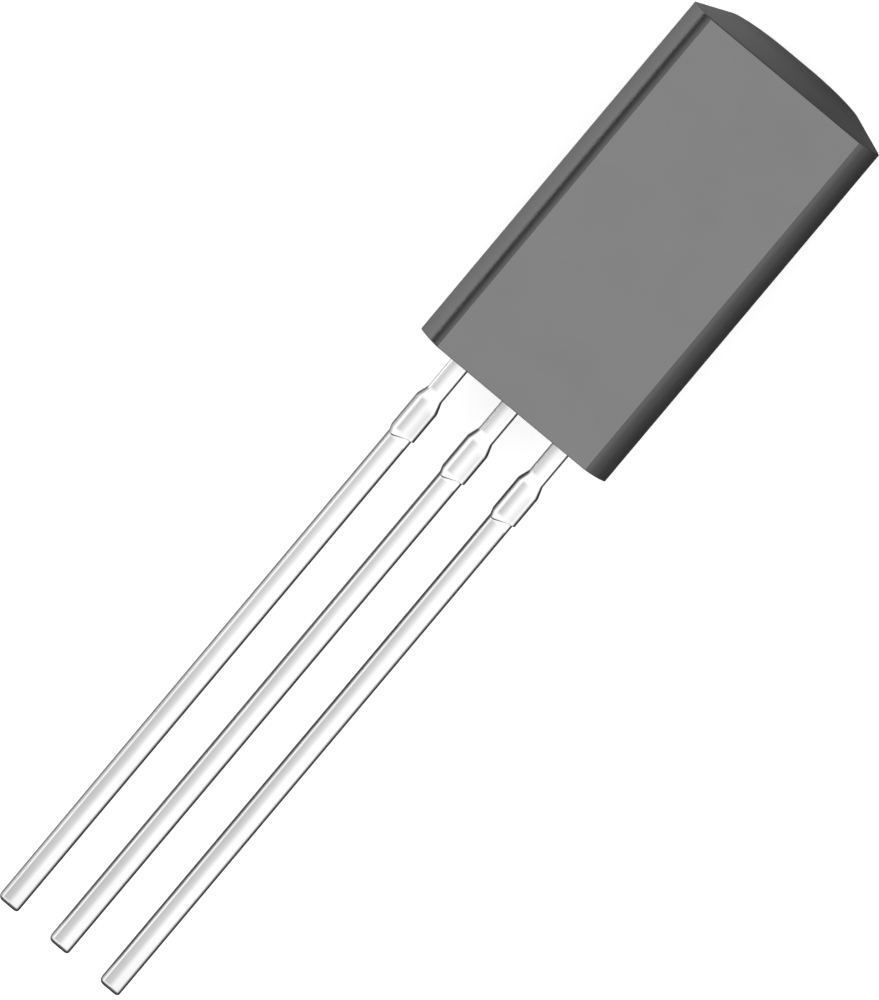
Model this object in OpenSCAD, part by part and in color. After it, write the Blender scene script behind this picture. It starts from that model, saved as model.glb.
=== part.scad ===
// Long-body TO-92 transistor lying on its rounded back, millimetres, +Z up.
// X runs across the row of leads, Y along the body towards its closed end.
// The origin is at the middle of the length and width, on the surface that the back rests on.

/* [Moulded body] */
// Widest size across the two flanks
body_w = 4.62; // [4.4:0.02:5.2]
// Length of the moulding from the closed end to the end the leads leave
body_l = 8.3; // [7.6:0.05:10]
// Depth from the flat marking face to the crown of the back
body_d = 3.75; // [3.5:0.05:4.2]
// Width of the flat marking face
flat_w = 3.7; // [3.4:0.02:4.0]
// Depth of the widest line behind the marking face
edge_d = 0.53; // [0.45:0.01:0.65]
// Radius of the rounded edge between the marking face and the widest line
edge_r = 0.9; // [0.75:0.05:1.6]
// Width of the narrow flat along the crown of the back, which the part rests on
crown_w = 0.6; // [0.3:0.05:1.2]
// Radius of the shoulders between the crown and the flanks
shoulder_r = 1.35; // [1:0.05:1.6]
// Diameter of the round mark that the mould's ejector pin leaves in the back
ejector_d = 1.2; // [0.8:0.1:1.6]
// Depth of the ejector mark at the crown
ejector_depth = 0.08; // [0.05:0.01:0.15]

/* [Leads] */
// Distance between neighbouring leads
pitch = 1.27; // [1.2:0.01:1.35]
// Width of a lead below its bump
lead_w = 0.49; // [0.44:0.01:0.54]
// Thickness of the strip the lead frame is stamped from
lead_t = 0.42; // [0.35:0.01:0.5]
// Length of the leads outside the body
lead_l = 13.95; // [12:0.05:15]
// Depth of the middle of the strip behind the marking face
lead_depth = 1.28; // [1.2:0.02:1.5]
// Radius of the corners at the lead tips
tip_r = 0.1; // [0.04:0.01:0.18]

/* [Lead necks and bumps] */
// Width of a lead between the body and its bump
neck_w = 0.41; // [0.36:0.01:0.48]
// Length of the neck between the body and the bump
neck_l = 0.92; // [0.6:0.01:1.2]
// Width of the bump that is left where the tie bar was cut off
bump_w = 0.57; // [0.55:0.01:0.7]
// Thickness of the bump, which stands proud of the strip
bump_t = 0.49; // [0.44:0.01:0.56]
// Length of the bump with its sloping ends
bump_l = 1.12; // [0.9:0.01:1.4]
// Length of the slope at the end of the bump next to the neck
bump_in = 0.24; // [0.1:0.02:0.36]
// Length of the taper at the other end, which the sheared left side has
bump_out = 0.16; // [0.06:0.02:0.3]
// How much nearer the body the left flank of the bump begins than the right one
bump_skew = 0.09; // [0:0.01:0.14]

/* [Lead frame inside the body] */
// Length of the outer leads from the body's end to their bond posts
post_start = 1.2; // [0.8:0.1:1.5]
// Width of a bond post
post_w = 1.0; // [0.8:0.05:1.1]
// Length of a bond post
post_l = 1.1; // [0.8:0.05:1.3]
// Gap along the body between the bond posts and the die pad
pad_gap = 0.5; // [0.3:0.05:0.8]
// Width of the die pad
pad_w = 2.0; // [1.7:0.05:2.4]
// Length of the die pad
pad_l = 3.0; // [2.4:0.1:3.4]
// Radius of the notches that lock posts and pad in the moulding
notch_r = 0.15; // [0.1:0.01:0.2]
// Radius of the outer corners of posts and pad
corner_r = 0.12; // [0.05:0.01:0.2]

/* [Die and bond wires] */
// Side of the square silicon die
die_w = 1.1; // [0.8:0.05:1.4]
// Thickness of the die
die_t = 0.25; // [0.18:0.01:0.35]
// Rim of solder that shows around the die
solder_rim = 0.06; // [0.02:0.01:0.12]
// Thickness of the solder under the die
solder_t = 0.04; // [0.02:0.01:0.08]
// Diameter of the bond wires
wire_d = 0.05; // [0.03:0.005:0.08]
// Diameter of the ball and foot at the ends of a wire
bond_d = 0.14; // [0.12:0.01:0.2]
// Height of the ball and foot
bond_h = 0.05; // [0.045:0.005:0.08]
// Half the distance between the two bonds on the die
bond_x = 0.28; // [0.15:0.01:0.32]
// Distance of the bonds on the die from its middle, towards the posts
bond_y = 0.2; // [0:0.01:0.3]
// Straight rise of a wire above its ball
wire_rise = 0.12; // [0.08:0.01:0.2]
// Radius of the bend at the top of a wire
wire_bend = 0.14; // [0.1:0.01:0.2]

/* [Hidden] */
$fn = 96;
over = 1;                                     // what a cutting shape stands past the surface it cuts

// Places along Y and Z
end_y = (body_l + lead_l) / 2;                // closed end of the body
exit_y = end_y - body_l;                      // end of the body that the leads leave
tip_y = -end_y;
bump_top = exit_y - neck_l;
bump_bottom = bump_top - bump_l;
step_y = bump_bottom + bump_out;              // lower corner of the bump on its square right side
strip_z = body_d - lead_depth;                // middle of the strip
strip_top = strip_z + lead_t / 2;             // face of the strip that carries the die
post_y = exit_y + post_start;
pad_y = post_y + post_l + pad_gap;
die_y = pad_y + pad_l / 2;
die_bottom = strip_top + solder_t;
die_top = die_bottom + die_t;

// Centres and tangent points of the arcs in the body's section, right half
crown_end = [crown_w / 2, 0];
shoulder_c = [crown_w / 2, shoulder_r];
widest = [body_w / 2, body_d - edge_d];
flat_end = [flat_w / 2, body_d];
flank = widest - shoulder_c;
flank_a = atan2(flank.y, flank.x) - acos(shoulder_r / norm(flank));
flank_end = shoulder_c + shoulder_r * [cos(flank_a), sin(flank_a)];
edge_chord = flat_end - widest;
edge_rise = sqrt(edge_r * edge_r - edge_chord * edge_chord / 4);
edge_c = (flat_end + widest) / 2 + edge_rise * [-edge_chord.y, edge_chord.x] / norm(edge_chord);

// Slice of a disc of radius r about c, between the radii through the points a and b
module sector(c, r, a, b) {
    reach = 2;                                // far enough out to clear the arc
    intersection() {
        translate(c) circle(r = r);
        polygon([c, c + reach * (a - c), c + reach * (b - c)]);
    }
}

function mirrored(p) = [-p.x, p.y];

// One flank's arcs: the rounded edge and the shoulder
module flank_arcs() {
    sector(edge_c, edge_r, widest, flat_end);
    sector(shoulder_c, shoulder_r, crown_end, flank_end);
}

// Section across the body, with its flat face up and its crown on zero
module body_section() {
    half = [crown_end, flank_end, widest, flat_end];
    polygon(concat(half, [for (i = [3:-1:0]) mirrored(half[i])]));
    flank_arcs();
    mirror([1, 0]) flank_arcs();
}

// Moulding: the section drawn out along Y, with the lead frame, die and wires set into it
module body() {
    color("dimgray") difference() {
        translate([0, end_y, 0]) rotate([90, 0, 0]) linear_extrude(height = body_l) body_section();
        ejector_mark();
        emitter_lead();
        collector_lead();
        base_lead();
        die_solder();
        die();
        emitter_wire();
        base_wire();
    }
}

// Round flat-bottomed mark in the crown, half way along the body
module ejector_mark() {
    translate([0, exit_y + body_l / 2, -over])
        cylinder(d = ejector_d, h = ejector_depth + over);
}

// What rounding to the radius r takes off a corner; inward points from it into the sheet
module corner_cut(corner, inward, r) {
    difference() {
        translate(corner) square(2 * r, center = true);
        translate(corner + r * inward) circle(r = r);
    }
}

// One side of a lead's outline from its plate down to its tip; flare is where the bump begins,
// and taper is how far its lower corner slopes in
function lead_side(plate_y, plate_w, plate_l, flare, taper) = [
    [plate_w / 2, plate_y + plate_l],
    [plate_w / 2, plate_y],
    [neck_w / 2, plate_y],
    [neck_w / 2, flare],
    [bump_w / 2, flare - bump_in],
    [bump_w / 2, step_y],
    [lead_w / 2, step_y - taper],
    [lead_w / 2, tip_y]
];

// Outline of a stamped lead centred on x = 0: plate in the body, neck, bump, long part and rounded tip
module lead_outline(plate_y, plate_w, plate_l) {
    right = lead_side(plate_y, plate_w, plate_l, bump_top - bump_skew / 2, 0);
    left = lead_side(plate_y, plate_w, plate_l, bump_top + bump_skew / 2, bump_out);
    difference() {
        polygon(concat(right, [for (i = [len(left) - 1:-1:0]) mirrored(left[i])]));
        for (side = [-1, 1]) {
            corner_cut([side * plate_w / 2, plate_y + plate_l], [-side, -1], corner_r);
            corner_cut([side * plate_w / 2, plate_y], [-side, 1], corner_r);
            corner_cut([side * lead_w / 2, tip_y], [-side, 1], tip_r);
            translate([side * plate_w / 2, plate_y + plate_l / 2]) circle(r = notch_r);
        }
    }
}

// The strip seen from its edge, up to inner_y: it rises to the bump's thickness over the slope
module strip_profile(inner_y) {
    half = [
        [inner_y, lead_t / 2],
        [bump_top, lead_t / 2],
        [bump_top - bump_in, bump_t / 2],
        [tip_y - over, bump_t / 2]
    ];
    polygon(concat(half, [for (i = [len(half) - 1:-1:0]) [half[i].x, -half[i].y]]));
}

// What is pressed off both faces below the bump, down to the strip's thickness; the step runs
// aslant from the square corner on the right to the end of the taper on the left
module pressed_off() {
    right = [bump_w / 2, step_y];
    left = [-bump_w / 2, bump_bottom];
    slant = right - left;
    outer = [right + slant, left - slant];
    for (side = [0, 1]) mirror([0, 0, side]) translate([0, 0, lead_t / 2])
        linear_extrude(height = bump_t)
            polygon([outer[0], outer[1], [outer[1].x, tip_y - over], [outer[0].x, tip_y - over]]);
}

// A stamped lead on the line x: its outline cut through the strip's profile
module stamped_lead(x, plate_y, plate_w, plate_l) {
    translate([x, 0, strip_z]) difference() {
        intersection() {
            translate([0, 0, -bump_t]) linear_extrude(height = 2 * bump_t)
                lead_outline(plate_y, plate_w, plate_l);
            rotate([90, 0, 90]) translate([0, 0, -plate_w]) linear_extrude(height = 2 * plate_w)
                strip_profile(plate_y + plate_l + over);
        }
        pressed_off();
    }
}

// Outer lead, which ends in a bond post
module outer_lead(x) {
    stamped_lead(x, post_y, post_w, post_l);
}

module emitter_lead() {
    color("gainsboro") outer_lead(-pitch);
}

module base_lead() {
    color("gainsboro") outer_lead(pitch);
}

// Middle lead, which ends in the die pad
module collector_lead() {
    color("gainsboro") stamped_lead(0, pad_y, pad_w, pad_l);
}

// Solder between the pad and the die, a little wider than the die
module die_solder() {
    size = die_w + 2 * solder_rim;
    color("lightgray") translate([-size / 2, die_y - size / 2, strip_top]) cube([size, size, solder_t]);
}

module die() {
    color("slategray") translate([-die_w / 2, die_y - die_w / 2, die_bottom]) cube([die_w, die_w, die_t]);
}

// Wire from the die to a bond post: ball, rise, bend, straight run and foot
module bond_wire(side) {
    start = [side * bond_x, die_y - bond_y];
    stop = [side * pitch, post_y + post_l / 2];
    run = norm(stop - start);
    heading = atan2(stop.y - start.y, stop.x - start.x);
    top = bond_h + wire_rise;                 // height above the die at which the bend begins
    foot = strip_top + bond_h - die_top;      // height of the foot's top above the die
    reach = [run - wire_bend, foot - top];    // from the centre of the bend to the foot
    slope = 90 - (atan2(reach.y, reach.x) + acos(wire_bend / norm(reach)));
    straight = sqrt(reach * reach - wire_bend * wire_bend);
    translate([start.x, start.y, die_top]) rotate([0, 0, heading]) {
        cylinder(d = bond_d, h = bond_h);
        cylinder(d = wire_d, h = top);
        translate([wire_bend, 0, top]) rotate([90, 0, 0]) rotate([0, 0, 90 - slope])
            rotate_extrude(angle = 90 + slope) translate([wire_bend, 0]) circle(d = wire_d);
        translate([wire_bend, 0, top]) rotate([0, slope, 0]) translate([0, 0, wire_bend])
            rotate([0, 90, 0]) cylinder(d = wire_d, h = straight);
        translate([run, 0, foot - bond_h]) cylinder(d = bond_d, h = bond_h);
    }
}

module emitter_wire() {
    color("gold") bond_wire(-1);
}

module base_wire() {
    color("gold") bond_wire(1);
}

body();
emitter_lead();
collector_lead();
base_lead();
die();
die_solder();
emitter_wire();
base_wire();
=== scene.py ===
import math
import bpy
from mathutils import Matrix, Vector


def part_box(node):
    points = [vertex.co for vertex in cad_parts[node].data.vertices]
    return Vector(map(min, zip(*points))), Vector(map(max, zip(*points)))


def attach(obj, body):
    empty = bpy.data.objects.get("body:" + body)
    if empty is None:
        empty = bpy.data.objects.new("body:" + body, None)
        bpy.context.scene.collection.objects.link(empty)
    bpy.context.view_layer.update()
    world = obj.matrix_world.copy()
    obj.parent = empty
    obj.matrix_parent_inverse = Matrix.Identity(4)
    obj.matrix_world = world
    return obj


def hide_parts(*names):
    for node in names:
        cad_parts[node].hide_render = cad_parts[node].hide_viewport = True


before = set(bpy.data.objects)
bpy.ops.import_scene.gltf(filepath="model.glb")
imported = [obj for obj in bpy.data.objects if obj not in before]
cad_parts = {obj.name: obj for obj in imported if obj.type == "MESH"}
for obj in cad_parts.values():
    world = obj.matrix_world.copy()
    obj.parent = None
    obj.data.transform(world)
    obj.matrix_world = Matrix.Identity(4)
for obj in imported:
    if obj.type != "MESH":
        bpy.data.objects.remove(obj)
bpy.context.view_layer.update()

mm = 0.001
sameWithin = 0.001        # mm between places that are one slice
mergeWithin = 0.0005      # mm between points that are one
flatWithin = 0.0001       # mm, the height of a face that has no area
leadNames = ["emitter_lead", "collector_lead", "base_lead"]


# a CAD node's lowest and highest corner in millimetres
def boxInMm(node):
    low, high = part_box(node)
    return low / mm, high / mm


caseLow, caseHigh = boxInMm("body")


# helpers that stand in for what is done by hand in the window: pick, edit, finish
def deselectAll():
    for thing in bpy.context.selected_objects:
        thing.select_set(False)
    bpy.context.view_layer.objects.active = None


def makeActive(piece):
    deselectAll()
    piece.select_set(True)
    bpy.context.view_layer.objects.active = piece


def startBox(name, low, high):
    deselectAll()
    bpy.ops.mesh.primitive_cube_add(size=1, location=(low + high) / 2, scale=high - low)
    piece = bpy.context.object
    piece.name = name
    bpy.ops.object.transform_apply(location=True, rotation=False, scale=True)
    return piece


def pickVerts(piece, wanted):
    bpy.ops.object.mode_set(mode="EDIT")
    bpy.ops.mesh.select_mode(type="VERT")
    bpy.ops.mesh.select_all(action="DESELECT")
    bpy.ops.object.mode_set(mode="OBJECT")
    for vert in piece.data.vertices:
        vert.select = wanted(vert.co)
    bpy.ops.object.mode_set(mode="EDIT")


def pickEdges(piece, wanted):
    bpy.ops.object.mode_set(mode="EDIT")
    bpy.ops.mesh.select_mode(type="EDGE")
    bpy.ops.mesh.select_all(action="DESELECT")
    bpy.ops.object.mode_set(mode="OBJECT")
    points = [vert.co.copy() for vert in piece.data.vertices]
    for edge in piece.data.edges:
        edge.select = wanted(*[points[i] for i in edge.vertices])
    bpy.ops.object.mode_set(mode="EDIT")


def pickFaces(piece, wanted):
    bpy.ops.object.mode_set(mode="EDIT")
    bpy.ops.mesh.select_mode(type="FACE")
    bpy.ops.mesh.select_all(action="DESELECT")
    bpy.ops.object.mode_set(mode="OBJECT")
    for face in piece.data.polygons:
        face.select = wanted(face.center, face.normal)
    bpy.ops.object.mode_set(mode="EDIT")


def sliceAt(axis, place):
    normal = [0, 0, 0]
    point = [0, 0, 0]
    normal[axis] = 1
    point[axis] = place
    bpy.ops.object.mode_set(mode="EDIT")
    bpy.ops.mesh.select_all(action="SELECT")
    bpy.ops.mesh.bisect(plane_co=point, plane_no=normal)
    bpy.ops.object.mode_set(mode="OBJECT")


def near(a, b):
    return abs(a - b) < sameWithin


def cutWith(piece, cutter):
    makeActive(piece)
    cut = piece.modifiers.new("cut", "BOOLEAN")
    cut.operation = "DIFFERENCE"
    cut.solver = "EXACT"
    cut.object = cutter
    bpy.ops.object.modifier_apply(modifier=cut.name)
    bpy.data.objects.remove(cutter)


def roundEdges(piece, width, segments, limit):
    makeActive(piece)
    soft = piece.modifiers.new("edges", "BEVEL")
    soft.width = width
    soft.segments = segments
    soft.limit_method = "ANGLE"
    soft.angle_limit = math.radians(limit)
    bpy.ops.object.modifier_apply(modifier=soft.name)


# closes the mesh, smooths its shading, brings it to metres and hangs it on the body it stands for
def finishPiece(piece, material, node, smoothBelow):
    makeActive(piece)
    bpy.ops.object.mode_set(mode="EDIT")
    bpy.ops.mesh.select_all(action="SELECT")
    bpy.ops.mesh.remove_doubles(threshold=mergeWithin)
    bpy.ops.mesh.normals_make_consistent(inside=False)
    bpy.ops.object.mode_set(mode="OBJECT")
    bpy.ops.object.shade_smooth_by_angle(angle=math.radians(smoothBelow))
    piece.scale = (mm, mm, mm)
    bpy.ops.object.transform_apply(location=True, rotation=True, scale=True)
    piece.data.materials.clear()
    piece.data.materials.append(material)
    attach(piece, "root")
    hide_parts(node)


# a new material whose patterns are laid out in millimetres on the piece
def startMaterial(name):
    material = bpy.data.materials.new(name)
    material.use_nodes = True
    tree = material.node_tree
    place = tree.nodes.new("ShaderNodeTexCoord")
    scale = tree.nodes.new("ShaderNodeMapping")
    scale.inputs["Scale"].default_value = (1 / mm, 1 / mm, 1 / mm)
    tree.links.new(place.outputs["Object"], scale.inputs["Vector"])
    return material, tree, tree.nodes["Principled BSDF"], scale.outputs["Vector"]


def addNoise(tree, vector, scale, roughness=0.5, stretch=None, detail=3):
    if stretch:
        pull = tree.nodes.new("ShaderNodeMapping")
        pull.inputs["Scale"].default_value = stretch
        tree.links.new(vector, pull.inputs["Vector"])
        vector = pull.outputs["Vector"]
    noise = tree.nodes.new("ShaderNodeTexNoise")
    noise.inputs["Scale"].default_value = scale
    noise.inputs["Detail"].default_value = detail
    noise.inputs["Roughness"].default_value = roughness
    tree.links.new(vector, noise.inputs["Vector"])
    return noise.outputs["Fac"]


def addRamp(tree, factor, stops):
    ramp = tree.nodes.new("ShaderNodeValToRGB")
    for i, (place, colour) in enumerate(stops):
        stop = ramp.color_ramp.elements[i] if i < 2 else ramp.color_ramp.elements.new(place)
        stop.position = place
        stop.color = (*colour, 1)
    tree.links.new(factor, ramp.inputs["Fac"])
    return ramp.outputs["Color"]


def addRange(tree, value, low, high):
    fit = tree.nodes.new("ShaderNodeMapRange")
    fit.inputs["To Min"].default_value = low
    fit.inputs["To Max"].default_value = high
    tree.links.new(value, fit.inputs["Value"])
    return fit.outputs["Result"]


def addBump(tree, height, distance, strength):
    bump = tree.nodes.new("ShaderNodeBump")
    bump.inputs["Distance"].default_value = distance * mm
    bump.inputs["Strength"].default_value = strength
    tree.links.new(height, bump.inputs["Height"])
    return bump.outputs["Normal"]


def addMath(tree, kind, *values):
    node = tree.nodes.new("ShaderNodeMath")
    node.operation = kind
    for socket, value in zip(node.inputs, values):
        if isinstance(value, (int, float)):
            socket.default_value = value
        else:
            tree.links.new(value, socket)
    return node.outputs[0]


def addMix(tree, factor, first, second, kind="MIX"):
    mix = tree.nodes.new("ShaderNodeMix")
    mix.data_type = "RGBA"
    mix.blend_type = kind
    for name, value in (("Factor", factor), ("A", first), ("B", second)):
        socket = [s for s in mix.inputs if s.name == name and s.enabled][0]
        if isinstance(value, (int, float)):
            socket.default_value = value
        elif isinstance(value, tuple):
            socket.default_value = (*value, 1)
        else:
            tree.links.new(value, socket)
    return [s for s in mix.outputs if s.enabled][0]


def addSplit(tree, vector):
    split = tree.nodes.new("ShaderNodeSeparateXYZ")
    tree.links.new(vector, split.inputs["Vector"])
    return split.outputs


# 1 for the rays that show the background itself: the camera's, those off gloss and those through glass
def addSeen(tree):
    ray = tree.nodes.new("ShaderNodeLightPath").outputs
    direct = addMath(tree, "MAXIMUM", ray["Is Camera Ray"], ray["Is Glossy Ray"])
    return addMath(tree, "MAXIMUM", direct, ray["Is Transmission Ray"])


# a neutral colour from its level in an 8 bit picture
def grey(level):
    fraction = level / 255
    linear = ((fraction + 0.055) / 1.055) ** 2.4
    return (linear, linear, linear)


# camera: long lens, nearly overhead, leaning a little over the closed end and the left flank
cameraSettings = {
    "lens": 1000,
    "sensor": 36,
    "clipNear": 0.001,          # m
    "clipFar": 10,              # m
    "pixelsPerMm": 51.9,
    "imageHeight": 1000,
    "overClosedEnd": 8.5,       # degrees
    "overLeftFlank": 1.2,       # degrees
    "turn": 40,                 # degrees from the picture's up to the body's axis
    "aimX": 0.08,               # mm on the marking face that the picture's middle shows
    "aimFromClosedEnd": 10.555, # mm
}


def makeCamera():
    s = cameraSettings
    data = bpy.data.cameras.new("photo_camera")
    data.lens = s["lens"]
    data.sensor_width = s["sensor"]
    data.clip_start = s["clipNear"]
    data.clip_end = s["clipFar"]
    camera = bpy.data.objects.new("photo_camera", data)
    bpy.context.scene.collection.objects.link(camera)
    lean = math.tan(math.radians(s["overClosedEnd"]))
    aside = math.tan(math.radians(s["overLeftFlank"]))
    back = Vector((-aside, lean, 1)).normalized()
    along = Vector((0, 1, 0))
    along = (along - along.dot(back) * back).normalized()
    across = along.cross(back)
    turn = math.radians(s["turn"])
    up = math.cos(turn) * along - math.sin(turn) * across
    right = math.sin(turn) * along + math.cos(turn) * across
    aim = Vector((s["aimX"], caseHigh.y - s["aimFromClosedEnd"], caseHigh.z)) * mm
    shown = s["imageHeight"] / s["pixelsPerMm"] * mm
    distance = s["lens"] * shown / s["sensor"]
    turned = Matrix((right, up, back)).transposed().to_4x4()
    camera.matrix_world = Matrix.Translation(aim + back * distance) @ turned
    bpy.context.scene.camera = camera
    print("camera", round(distance / mm), "mm away")


# room, in metres: white floor and background, one wide panel overhead and one low panel on the left
roomSettings = {
    "floorSize": 4.0,
    "floorWhite": 231,
    "floorRough": 0.9,
    "floorLift": 0.52,          # what brings the floor up to white for the rays that show it
    "overheadHeight": 0.36,
    "overheadSide": 1.15,
    "overheadLevel": 0.6,
    "leftDistance": 0.05,
    "leftHeight": 0.01,
    "leftLength": 0.1,
    "leftLevel": 1.5,
    "fill": 0.55,               # the world's level for the light on the part
}
# graded cards that glow and only gloss sees, in mm: two stand beside the part and one lies under it. Their
# glow is painted light and shade seen only in reflections; the lying card is dim under and right of the
# part, painted shade.
# Each level has its height on a standing card, or its place from left to right on the lying one
cardSettings = {
    "left_card": {
        "length": 240, "at": -60,
        "levels": [(13.5, 0.3), (18, 0.2), (21, 0.2), (24.5, 0.43), (28, 0.7), (32, 0.87), (35.5, 1.15),
                   (42, 1.8), (100, 1.9)],
    },
    "right_card": {
        "length": 240, "at": 60,
        "levels": [(0, 0.6), (11.5, 0.86), (18, 1.05), (24.5, 1.4), (31.5, 1.65), (35.5, 1.9), (100, 1.9)],
    },
    "lying_card": {
        "length": 60, "lift": 0.01,
        "levels": [(-40, 2.4), (-15, 2.0), (-10, 1.6), (-7, 1.2), (-5.5, 0.85), (-4.2, 0.5), (-2.5, 0.22),
                   (-0.2, 0.125), (1, 0.08), (7.5, 0.12), (10.5, 0.2), (15.5, 0.31), (34, 0.47), (57, 0.6)],
    },
}


def addPanel(name, place, target, width, height, level):
    data = bpy.data.lights.new(name, "AREA")
    data.shape = "RECTANGLE"
    data.size = width
    data.size_y = height
    data.energy = level * math.pi * width * height
    panel = bpy.data.objects.new(name, data)
    bpy.context.scene.collection.objects.link(panel)
    panel.location = place
    panel.rotation_euler = (Vector(target) - Vector(place)).to_track_quat("-Z", "Y").to_euler()
    panel.visible_camera = False


def addCard(name):
    s = cardSettings[name]
    low, high = s["levels"][0][0], s["levels"][-1][0]
    middle = (low + high) / 2
    lies = "lift" in s
    deselectAll()
    place = (middle, 0, s["lift"]) if lies else (s["at"], 0, middle)
    bpy.ops.mesh.primitive_plane_add(
        size=1, location=Vector(place) * mm, rotation=(0, 0 if lies else -math.pi / 2, 0))
    card = bpy.context.object
    card.name = name
    card.scale = ((high - low) * mm, s["length"] * mm, 1)
    card.visible_camera = False
    card.visible_diffuse = False
    card.visible_shadow = False
    material, tree, shader, _ = startMaterial(name)
    shader.inputs["Base Color"].default_value = (0, 0, 0, 1)
    shader.inputs["Specular IOR Level"].default_value = 0
    shader.inputs["Emission Strength"].default_value = 1
    along = addSplit(tree, tree.nodes.new("ShaderNodeTexCoord").outputs["Generated"])["X"]
    shade = addRamp(tree, along, [((at - low) / (high - low), (k, k, k)) for at, k in s["levels"]])
    tree.links.new(shade, shader.inputs["Emission Color"])
    card.data.materials.append(material)


def makeRoom():
    s = roomSettings
    side = s["overheadSide"]
    low = s["leftHeight"] / 2
    addPanel("overhead_panel", (0, 0, s["overheadHeight"]), (0, 0, 0), side, side, s["overheadLevel"])
    addPanel("left_panel", (-s["leftDistance"], 0, low), (0, 0, low), s["leftLength"], s["leftHeight"],
             s["leftLevel"])
    world = bpy.data.worlds.new("studio")
    bpy.context.scene.world = world
    world.use_nodes = True
    tree = world.node_tree
    tree.nodes.clear()
    out = tree.nodes.new("ShaderNodeOutputWorld")
    light = tree.nodes.new("ShaderNodeBackground")
    light.inputs["Color"].default_value = (1, 1, 1, 1)
    tree.links.new(addRange(tree, addSeen(tree), s["fill"], 1), light.inputs["Strength"])
    tree.links.new(light.outputs[0], out.inputs["Surface"])

    deselectAll()
    bpy.ops.mesh.primitive_plane_add(size=s["floorSize"])
    floor = bpy.context.object
    floor.name = "floor"
    material, tree, shader, _ = startMaterial("white_floor")
    shader.inputs["Base Color"].default_value = (*grey(s["floorWhite"]), 1)
    shader.inputs["Roughness"].default_value = s["floorRough"]
    shader.inputs["Specular IOR Level"].default_value = 0
    shader.inputs["Emission Color"].default_value = (1, 1, 1, 1)
    lift = addRange(tree, addSeen(tree), 0, s["floorLift"])
    tree.links.new(lift, shader.inputs["Emission Strength"])
    floor.data.materials.append(material)
    for name in cardSettings:
        addCard(name)
    print("room")


# grey moulding compound: matt marking face, polished rounded edges, mid grey sides and back; the greys are
# painted shade by the way each surface faces, lightest on the face and darkest on the rounded edges
mouldingFinishAndShade = {
    # painted shade: the face's grey is lightest, the rounded edges' darkest and the sides' mid grey
    "face": (105, 109),       # darkest and lightest grey of each zone
    "edge": (40, 44),
    "side": (62, 67),
    "sideTo": 0.05,           # the zones part by how far up a surface looks
    "edgeFrom": 0.28,
    "edgeTo": 0.955,
    "faceFrom": 0.975,
    "mottleScale": 0.9,
    "mottle": (0.3, 0.7),     # noise at the darkest and at the lightest grey
    "grainScale": 22,
    "grainMix": 0.6,
    "grainDepth": 0.004,      # mm
    "grainStrength": 0.5,
    "faceRough": 0.34,
    "sideRough": 0.14,
    "roughSwing": 0.03,
    "specular": 0.65,
}


def mouldingMaterial():
    s = mouldingFinishAndShade
    material, tree, shader, vector = startMaterial("moulding_compound")
    shader.inputs["Specular IOR Level"].default_value = s["specular"]
    mottle = addNoise(tree, vector, s["mottleScale"])
    grain = addNoise(tree, vector, s["grainScale"], s["grainMix"])
    up = addSplit(tree, tree.nodes.new("ShaderNodeNewGeometry").outputs["Normal"])["Z"]
    # painted shade: each zone's grey follows how far up the surface looks
    isShadedEdge = addRamp(tree, up, [(s["sideTo"], (0, 0, 0)), (s["edgeFrom"], (1, 1, 1))])
    isFace = addRamp(tree, up, [(s["edgeTo"], (0, 0, 0)), (s["faceFrom"], (1, 1, 1))])
    face, edge, side = [
        addRamp(tree, mottle, [(at, grey(level)) for at, level in zip(s["mottle"], s[zone])])
        for zone in ("face", "edge", "side")]
    colour = addMix(tree, isFace, addMix(tree, isShadedEdge, side, edge), face)
    tree.links.new(colour, shader.inputs["Base Color"])
    gloss = addRange(tree, isFace, s["sideRough"], s["faceRough"])
    rough = addMath(tree, "ADD", gloss, addRange(tree, grain, -s["roughSwing"], s["roughSwing"]))
    tree.links.new(rough, shader.inputs["Roughness"])
    bump = addBump(tree, grain, s["grainDepth"], s["grainStrength"])
    tree.links.new(bump, shader.inputs["Normal"])
    return material


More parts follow.
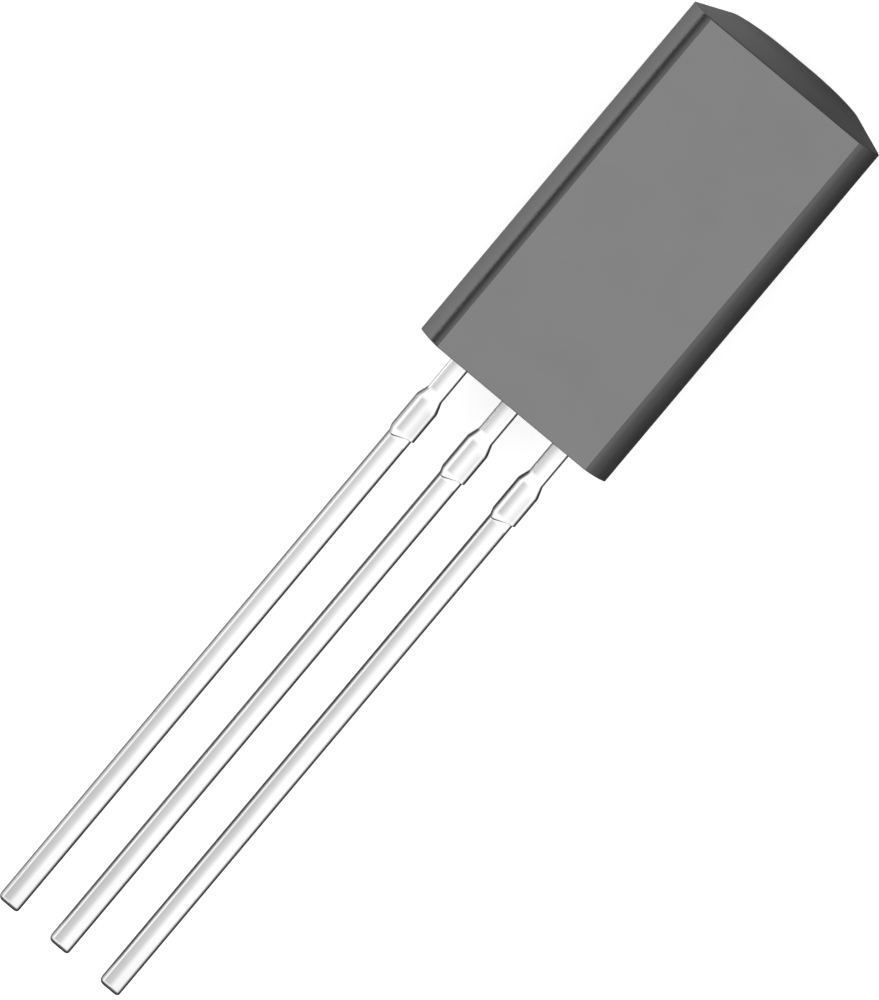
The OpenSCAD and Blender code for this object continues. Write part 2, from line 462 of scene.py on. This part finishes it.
# bright tin over a stamped strip: fine lines along it, a darker band on its left as a painted reflection,
# which stops on the slopes of the bump and widens towards the tip, painted shade on the dark rounded edges,
# and greyer cut sides, which are partly sheared tin and partly painted shade.
# Places along a lead are mm from the case, and places across it are mm from its middle
tinFinishAndShade = {
    "face": 212,
    "cloud": 205,
    "cloudScale": 1.4,
    "cloudStretch": (1, 0.35, 1),
    "cloudStops": (0.35, 0.65),
    # painted shade: dark rounded edges, darker on the right
    "edgeShadeLeft": 128,
    "edgeShadeRight": 104,
    "endShade": 96,            # painted shade in the step under the bump and on the tip
    "neckLeftHighlight": 235,          # painted highlight: the neck's left edge is brighter
    "neckTo": 0.9,
    # cut sides: greyer sheared tin, partly painted shade
    "side": 165,
    "endBelow": -0.5,         # how far towards the tip the step and the tip's rounding look
    "sideTo": 0.04,           # the other zones part by how far up or down a surface looks
    "edgeFrom": 0.12,
    "edgeTo": 0.65,
    "faceFrom": 0.88,
    "widerShadeRight": 0.11,       # painted shade: the long part's right edge is dark a little further in
    # painted reflection: a darker band on the left of each lead
    "longFrom": 2.1,
    "reflectionStripe": 0.63,
    "reflectionStripeTip": 0.52,        # the painted band is darker towards the tip
    "leadLength": 13.95,
    "laneWidth": 1.27,        # mm from one lead to the next
    "stripeFrom": -0.17,
    "stripeTo": 0.17,
    "stripeStops": [(0, 0), (0.06, 1), (0.19, 1), (0.53, 0)],
    "tipStops": [(0, 0), (0.06, 1), (0.4, 0.8), (0.62, 0)],
    "gaps": [(0.81, 1.11), (1.84, 2.08), (13.82, 14.5)],      # where the painted band stops
    "gapSoft": 0.06,
    "pressed": 0.2,           # painted shade: how much darker the bump is on its right
    "pressedAcross": (0.02, 0.32),
    "pressedAlong": (1.15, 1.95),
    "pressedSoft": 0.14,
    "lineScale": 14,
    "lineMix": 0.6,
    "lineStretch": (1, 0.04, 1),
    "lineDepth": 0.002,
    "lineStrength": 0.4,
    "roughLow": 0.24,
    "roughHigh": 0.34,
}


# 1 between two places along an axis, with soft ends
def addBand(tree, value, low, high, soft):
    rise = addMath(tree, "DIVIDE", addMath(tree, "SUBTRACT", value, low), soft)
    fall = addMath(tree, "DIVIDE", addMath(tree, "SUBTRACT", high, value), soft)
    lower = addMath(tree, "MINIMUM", rise, fall)
    return addMath(tree, "MAXIMUM", addMath(tree, "MINIMUM", lower, 1), 0)


def tinMaterial():
    s = tinFinishAndShade
    material, tree, shader, vector = startMaterial("bright_tin")
    shader.inputs["Metallic"].default_value = 1
    place = addSplit(tree, vector)
    cloud = addNoise(tree, vector, s["cloudScale"], stretch=s["cloudStretch"])
    lines = addNoise(tree, vector, s["lineScale"], s["lineMix"], s["lineStretch"])
    clouded, clear = s["cloudStops"]
    tone = addRamp(tree, cloud, [(clouded, grey(s["cloud"])), (clear, grey(s["face"]))])

    # where it is: across its own lead, and along it from the case
    lane = addMath(tree, "WRAP", place["X"], s["laneWidth"] / 2, -s["laneWidth"] / 2)
    fromCase = addMath(tree, "SUBTRACT", caseLow.y, place["Y"])
    towardsTip = addMath(tree, "DIVIDE", fromCase, s["leadLength"])

    # painted reflection: a darker band on the left of each lead
    across = addMath(tree, "DIVIDE", addMath(tree, "SUBTRACT", lane, s["stripeFrom"]),
                     s["stripeTo"] - s["stripeFrom"])
    nearCase, nearTip = [addRamp(tree, across, [(at, (k, k, k)) for at, k in s[stops]])
                         for stops in ("stripeStops", "tipStops")]
    reflectionStripe = addMix(tree, towardsTip, nearCase, nearTip)
    for low, high in s["gaps"]:
        gap = addBand(tree, fromCase, low, high, s["gapSoft"])
        reflectionStripe = addMath(tree, "MULTIPLY", reflectionStripe, addMath(tree, "SUBTRACT", 1, gap))
    share = addRange(tree, towardsTip, s["reflectionStripe"], s["reflectionStripeTip"])
    tone = addMix(tree, reflectionStripe, tone, addMix(tree, 1.0, tone, share, "MULTIPLY"))

    # painted shade on the right side of the bump
    pressed = addMath(tree, "MULTIPLY",
                      addBand(tree, lane, *s["pressedAcross"], s["pressedSoft"]),
                      addBand(tree, fromCase, *s["pressedAlong"], s["pressedSoft"]))
    share = addRange(tree, pressed, 1, 1 - s["pressed"])
    tone = addMix(tree, 1.0, tone, share, "MULTIPLY")

    # painted shade by the way the surface looks: dark rounded edges, darker on the right, and greyer cut
    # sides, which are partly the sheared tin
    facing = addSplit(tree, tree.nodes.new("ShaderNodeNewGeometry").outputs["Normal"])
    up = addMath(tree, "ABSOLUTE", facing["Z"])
    onRight = addMath(tree, "GREATER_THAN", facing["X"], 0)
    onLong = addMath(tree, "GREATER_THAN", fromCase, s["longFrom"])
    wider = addMath(tree, "MULTIPLY", addMath(tree, "MULTIPLY", onRight, onLong), s["widerShadeRight"])
    upLess = addMath(tree, "SUBTRACT", up, wider)
    isShadedEdge = addRamp(tree, up, [(s["sideTo"], (0, 0, 0)), (s["edgeFrom"], (1, 1, 1))])
    isFace = addRamp(tree, upLess, [(s["edgeTo"], (0, 0, 0)), (s["faceFrom"], (1, 1, 1))])
    # painted highlight on the neck's left edge
    onNeck = addBand(tree, fromCase, -s["neckTo"], s["neckTo"], s["gapSoft"])
    left = addMix(tree, onNeck, grey(s["edgeShadeLeft"]), grey(s["neckLeftHighlight"]))
    edge = addMix(tree, onRight, left, grey(s["edgeShadeRight"]))
    colour = addMix(tree, isFace, addMix(tree, isShadedEdge, grey(s["side"]), edge), tone)
    # painted shade in the step under the bump and on the tip's rounding
    onEnd = addMath(tree, "LESS_THAN", facing["Y"], s["endBelow"])
    colour = addMix(tree, onEnd, colour, grey(s["endShade"]))

    tree.links.new(colour, shader.inputs["Base Color"])
    rough = addRange(tree, lines, s["roughLow"], s["roughHigh"])
    tree.links.new(rough, shader.inputs["Roughness"])
    bump = addBump(tree, lines, s["lineDepth"], s["lineStrength"])
    tree.links.new(bump, shader.inputs["Normal"])
    return material


# one row per hidden piece: light and dark colour of its grain, how metallic, how rough, scale of the grain
insideFinish = {
    "die": ((96, 104, 116), (70, 78, 92), 0.6, 0.18, 6),
    "die_solder": ((190, 190, 194), (150, 150, 156), 1.0, 0.4, 12),
    "emitter_wire": ((232, 190, 104), (214, 168, 84), 1.0, 0.25, 20),
    "base_wire": ((232, 190, 104), (214, 168, 84), 1.0, 0.25, 20),
}
insideGrain = {"stops": (0.3, 0.7), "roughSwing": 0.12, "depth": 0.001, "strength": 0.3}     # depth in mm


def colourOf(levels):
    return tuple(grey(level)[0] for level in levels)


def insideMaterial(name, light, dark, metal, rough, scale):
    s = insideGrain
    material, tree, shader, vector = startMaterial(name)
    shader.inputs["Metallic"].default_value = metal
    grain = addNoise(tree, vector, scale)
    low, high = s["stops"]
    colour = addRamp(tree, grain, [(low, colourOf(dark)), (high, colourOf(light))])
    tree.links.new(colour, shader.inputs["Base Color"])
    swing = addRange(tree, grain, rough, rough + s["roughSwing"])
    tree.links.new(swing, shader.inputs["Roughness"])
    tree.links.new(addBump(tree, grain, s["depth"], s["strength"]), shader.inputs["Normal"])
    return material


# moulded case, in mm
caseShape = {
    "flatW": 3.7,
    "edgeDepth": 0.53,       # widest line behind the marking face
    "edgeRadius": 0.9,
    "edgeSegments": 10,
    "edgeFit": 0.93,         # brings the bevelled edge to the drawn arc
    "crownW": 0.6,
    "shoulderRadius": 1.35,
    "shoulderSegments": 14,
    "softening": 0.018,      # wear of the mould along its sharp lines
    "softSegments": 3,
    "softAbove": 15,         # degrees
    "ejectorD": 1.2,
    "ejectorDepth": 0.08,
    "ejectorSides": 64,
    "smoothBelow": 30,       # degrees
}


def makeCase(material):
    s = caseShape
    low, high = caseLow.copy(), caseHigh.copy()
    halfW = high.x
    wideZ = high.z - s["edgeDepth"]
    # the flank is a straight draft from the widest line, tangent to the shoulder arc
    toWide = Vector((halfW - s["crownW"] / 2, wideZ - s["shoulderRadius"]))
    flankTurn = math.atan2(toWide.y, toWide.x) - math.acos(s["shoulderRadius"] / toWide.length)
    footHalfW = halfW - wideZ * math.tan(-flankTurn)
    # the rounded edge comes from bevelling one line set outside its chord
    chord = Vector((s["flatW"] / 2 - halfW, s["edgeDepth"]))
    halfTurn = math.asin(chord.length / 2 / s["edgeRadius"])
    outward = Vector((chord.y, -chord.x)).normalized()
    bulge = s["edgeRadius"] / math.cos(halfTurn) - s["edgeRadius"] * math.cos(halfTurn)
    ridge = Vector((halfW, wideZ)) + chord / 2 + outward * bulge

    case = startBox("moulded_case", low, high)
    for height, wide in ((wideZ, halfW), (ridge.y, ridge.x)):
        sliceAt(2, height)
        pickVerts(case, lambda p: near(p.z, height))
        bpy.ops.transform.resize(value=(wide / halfW, 1, 1), center_override=(0, 0, 0))
        bpy.ops.object.mode_set(mode="OBJECT")
    for height, wide in ((low.z, footHalfW), (high.z, s["flatW"] / 2)):
        pickVerts(case, lambda p: near(p.z, height))
        bpy.ops.transform.resize(value=(wide / halfW, 1, 1), center_override=(0, 0, 0))
        bpy.ops.object.mode_set(mode="OBJECT")

    def alongAt(height):
        return lambda a, b: near(a.z, height) and near(b.z, height) and near(a.x, b.x)

    shoulderLength = footHalfW - s["crownW"] / 2
    pickEdges(case, alongAt(low.z))
    bpy.ops.mesh.bevel(offset=shoulderLength, segments=s["shoulderSegments"], profile=0.5)
    bpy.ops.object.mode_set(mode="OBJECT")
    edgeLength = s["edgeRadius"] * math.tan(halfTurn)
    pickEdges(case, alongAt(ridge.y))
    bpy.ops.mesh.bevel(offset=edgeLength * s["edgeFit"], segments=s["edgeSegments"], profile=0.5)
    bpy.ops.object.mode_set(mode="OBJECT")
    roundEdges(case, s["softening"], s["softSegments"], s["softAbove"])

    deselectAll()
    bpy.ops.mesh.primitive_cylinder_add(
        vertices=s["ejectorSides"], radius=s["ejectorD"] / 2, depth=2 * s["ejectorDepth"],
        location=(0, (low.y + high.y) / 2, low.z))
    cutWith(case, bpy.context.object)
    finishPiece(case, material, "body", s["smoothBelow"])
    print("moulded case")


# stamped leads, in mm: the plates inside the case, neck, bump where the tie bar was cut, long strip
leadShape = {
    "leadW": 0.49,
    "leadT": 0.42,
    "edgeRadius": 0.11,
    "edgeSegments": 5,
    "neckW": 0.41,
    "neckL": 0.92,
    "bumpW": 0.57,
    "bumpT": 0.49,
    "bumpL": 1.12,
    "slopeIn": 0.24,
    "slopeOut": 0.16,
    "skew": 0.09,            # how much nearer the case the bump begins on the left
    "stepL": 0.035,
    "stepSlant": 1.5,        # how many step lengths the step's upper line runs back on the right
    "tipLeft": 0.12,
    "tipRight": 0.07,
    "tipEdge": 0.15,
    "postStart": 1.2,
    "postW": 1.0,
    "postL": 1.1,
    "padGap": 0.5,
    "padW": 2.0,
    "padL": 3.0,
    "notchRadius": 0.15,
    "notchSides": 32,
    "cornerRadius": 0.12,
    "cornerSteps": 5,
    "smoothBelow": 35,       # degrees
}


# one slice across a lead: moves its left and right halves along the lead and sets how far they reach
def shapeSlice(lead, middle, y, start, left, right, thick):
    x, z = middle
    for side, (shift, halfW) in ((-1, left), (1, right)):
        pickVerts(lead, lambda p: near(p.y, y) and (p.x - x) * side > 0)
        bpy.ops.transform.resize(
            value=(2 * halfW / start[0], 1, thick / start[1]), center_override=(x, y, z))
        bpy.ops.transform.translate(value=(0, shift, 0))
        bpy.ops.object.mode_set(mode="OBJECT")


def makeLead(node, material):
    s = leadShape
    low, high = boxInMm(node)
    x = (low.x + high.x) / 2
    z = (low.z + high.z) / 2
    exitY = caseLow.y
    postY = exitY + s["postStart"]
    pad = (postY + s["postL"] + s["padGap"], s["padW"], s["padL"])
    post = (postY, s["postW"], s["postL"])
    plateY, plateW, plateL = pad if node == "collector_lead" else post
    bumpTop = exitY - s["neckL"]
    bumpBottom = bumpTop - s["bumpL"]
    stepY = bumpBottom + s["slopeOut"]
    flareEnd = bumpTop - s["slopeIn"]
    start = (s["leadW"], s["leadT"])
    half = Vector((start[0] / 2, 0, start[1] / 2))
    lead = startBox(
        "tinned_" + node, Vector((x, low.y, z)) - half, Vector((x, plateY, z)) + half)
    pickEdges(lead, lambda a, b: near(a.x, b.x) and near(a.z, b.z))
    bpy.ops.mesh.bevel(offset=s["edgeRadius"], segments=s["edgeSegments"], profile=0.5)
    bpy.ops.object.mode_set(mode="OBJECT")

    # each slice: place, then shift and half width on the left and on the right, then thickness
    thin, thick = s["leadT"], s["bumpT"]
    leadHalf, neckHalf, bumpHalf = s["leadW"] / 2, s["neckW"] / 2, s["bumpW"] / 2
    skew = s["skew"] / 2
    back = stepY - bumpBottom
    slices = [
        (bumpBottom, (0, leadHalf), (back - s["stepL"], leadHalf), thin),
        (bumpBottom + s["stepL"], (0, leadHalf), (back - s["stepSlant"] * s["stepL"], bumpHalf), thick),
        (stepY, (0, bumpHalf), (0, bumpHalf), thick),
        (flareEnd, (skew, bumpHalf), (-skew, bumpHalf), thick),
        (bumpTop, (skew, neckHalf), (-skew, neckHalf), thin),
    ]
    steps = s["cornerSteps"]
    turns = [math.pi / 2 * (1 - i / steps) for i in range(steps)]
    reach = max(s["tipLeft"], s["tipRight"], s["tipEdge"])

    # what a corner of that radius takes off the width at that distance from the end
    def taken(radius, distance):
        return radius - math.sqrt(max(radius ** 2 - max(radius - distance, 0) ** 2, 0))

    for turn in turns:
        distance = reach * (1 - math.sin(turn))
        slices.append((
            low.y + distance,
            (0, leadHalf - taken(s["tipLeft"], distance)),
            (0, leadHalf - taken(s["tipRight"], distance)),
            thin - 2 * taken(s["tipEdge"], distance)))
    for y, left, right, depth in slices:
        if not near(y, low.y):
            sliceAt(1, y)
    for y, left, right, depth in slices:
        shapeSlice(lead, (x, z), y, start, left, right, depth)
    shapeSlice(lead, (x, z), plateY, start, (0, neckHalf), (0, neckHalf), thin)

    # the neck's end face grows into the plate, with rounded corners
    radius = s["cornerRadius"]
    pickFaces(lead, lambda c, n: near(c.y, plateY) and n.y > 0.9)
    bpy.ops.mesh.extrude_region_move(TRANSFORM_OT_translate={"value": (0, 0, 0)})
    wide = plateW - 2 * radius
    y = plateY
    bpy.ops.transform.resize(value=(wide / s["neckW"], 1, 1), center_override=(x, y, z))
    turns = [math.pi / 2 * i / steps for i in range(1, steps + 1)]
    rise = [(radius * (1 - math.cos(t)), plateW - 2 * radius * (1 - math.sin(t))) for t in turns]
    path = [(plateY + a, w) for a, w in rise]
    path += [(plateY + plateL - a, w) for a, w in reversed(rise)] + [(plateY + plateL, wide)]
    for nextY, nextW in path:
        bpy.ops.mesh.extrude_region_move(TRANSFORM_OT_translate={"value": (0, nextY - y, 0)})
        bpy.ops.transform.resize(value=(nextW / wide, 1, 1), center_override=(x, nextY, z))
        y, wide = nextY, nextW
    bpy.ops.mesh.select_all(action="SELECT")
    bpy.ops.mesh.dissolve_degenerate(threshold=flatWithin)
    bpy.ops.object.mode_set(mode="OBJECT")
    for side in (-1, 1):
        deselectAll()
        bpy.ops.mesh.primitive_cylinder_add(
            vertices=s["notchSides"], radius=s["notchRadius"], depth=2 * s["leadT"],
            location=(x + side * plateW / 2, plateY + plateL / 2, z))
        cutWith(lead, bpy.context.object)
    finishPiece(lead, material, node, s["smoothBelow"])
    print("lead", node)


makeCamera()
makeRoom()
makeCase(mouldingMaterial())
tin = tinMaterial()
for name in leadNames:
    makeLead(name, tin)
for node, (light, dark, metal, rough, scale) in insideFinish.items():
    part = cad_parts[node]
    finish = insideMaterial("inside_" + node, light, dark, metal, rough, scale)
    part.data.materials.clear()
    part.data.materials.append(finish)
print("inside pieces")

bpy.context.scene.view_settings.view_transform = "Standard"
